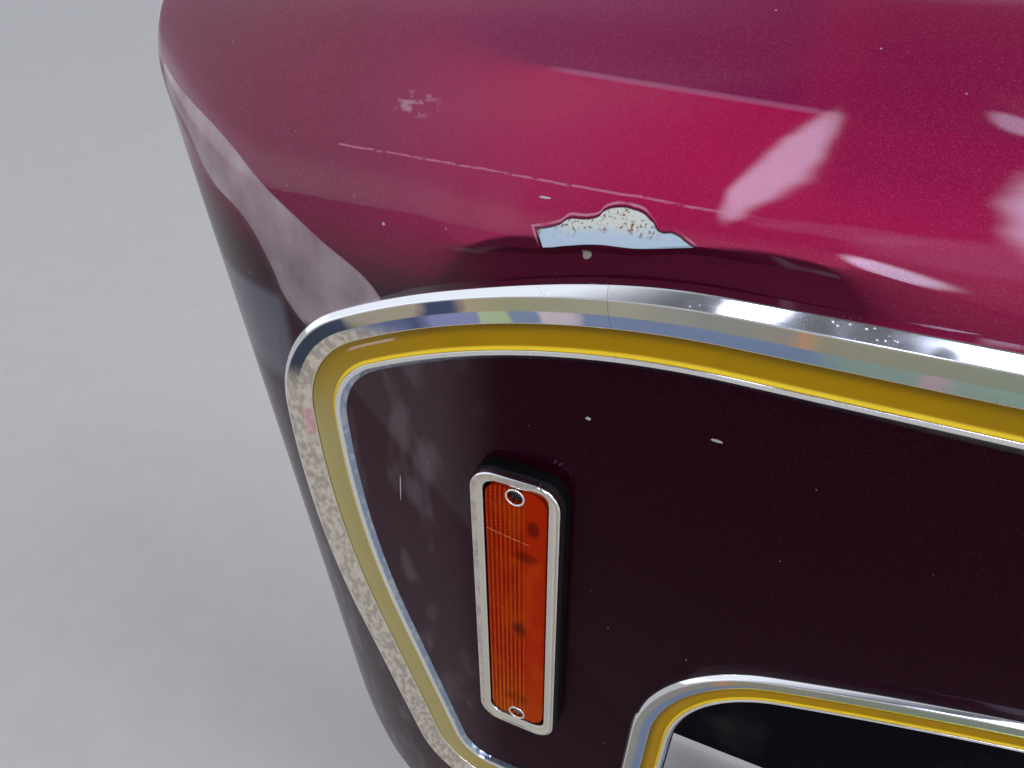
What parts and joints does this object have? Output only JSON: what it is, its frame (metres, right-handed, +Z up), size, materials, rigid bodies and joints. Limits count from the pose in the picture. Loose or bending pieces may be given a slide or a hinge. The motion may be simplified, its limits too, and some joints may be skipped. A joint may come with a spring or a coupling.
{
  "type": "left front fender of a pickup truck",
  "caption": "Left front body panel with crown, wheel opening, hood flange, wheelhouse liner, bright mouldings with painted channels, and a fluted side marker lamp.",
  "frame": {"origin": "underside of the hood flange, in the middle of its bolt row", "axes": "+X to the rear of the truck, -Y out of the side, +Z up"},
  "size_m": [1.2721, 0.2028, 0.667],
  "materials": {
    "body_paint": "gloss metallic burgundy over clear coat, chipped",
    "bright_trim": "polished bright metal",
    "yellow_paint": "satin yellow",
    "amber_lens": "clear amber, fluted inside",
    "black_rubber": "matt",
    "lamp_plastic": "light grey moulding",
    "bulb_glass": "clear",
    "plated_steel": "zinc plated",
    "black_steel": "black dip paint"
  },
  "bodies": {
    "root": {"fender_skin": "body_paint", "moulding_upper": "bright_trim", "moulding_corner": "bright_trim", "moulding_arch": "bright_trim", "moulding_lower_rear": "bright_trim", "insert_upper": "yellow_paint", "insert_corner": "yellow_paint", "insert_arch": "yellow_paint", "insert_lower_rear": "yellow_paint", "lamp_pad": "black_rubber", "lamp_bezel": "bright_trim", "lamp_lens": "amber_lens", "lamp_housing": "lamp_plastic", "lamp_screws": "plated_steel", "lamp_socket": "lamp_plastic", "lamp_bulb": "bulb_glass", "wheelhouse_liner": "black_steel", "front_brace": "black_steel", "bracket_rear_upper": "black_steel", "bracket_rear_lower": "black_steel", "hood_stops": "black_rubber"}
  },
  "joints": []
}
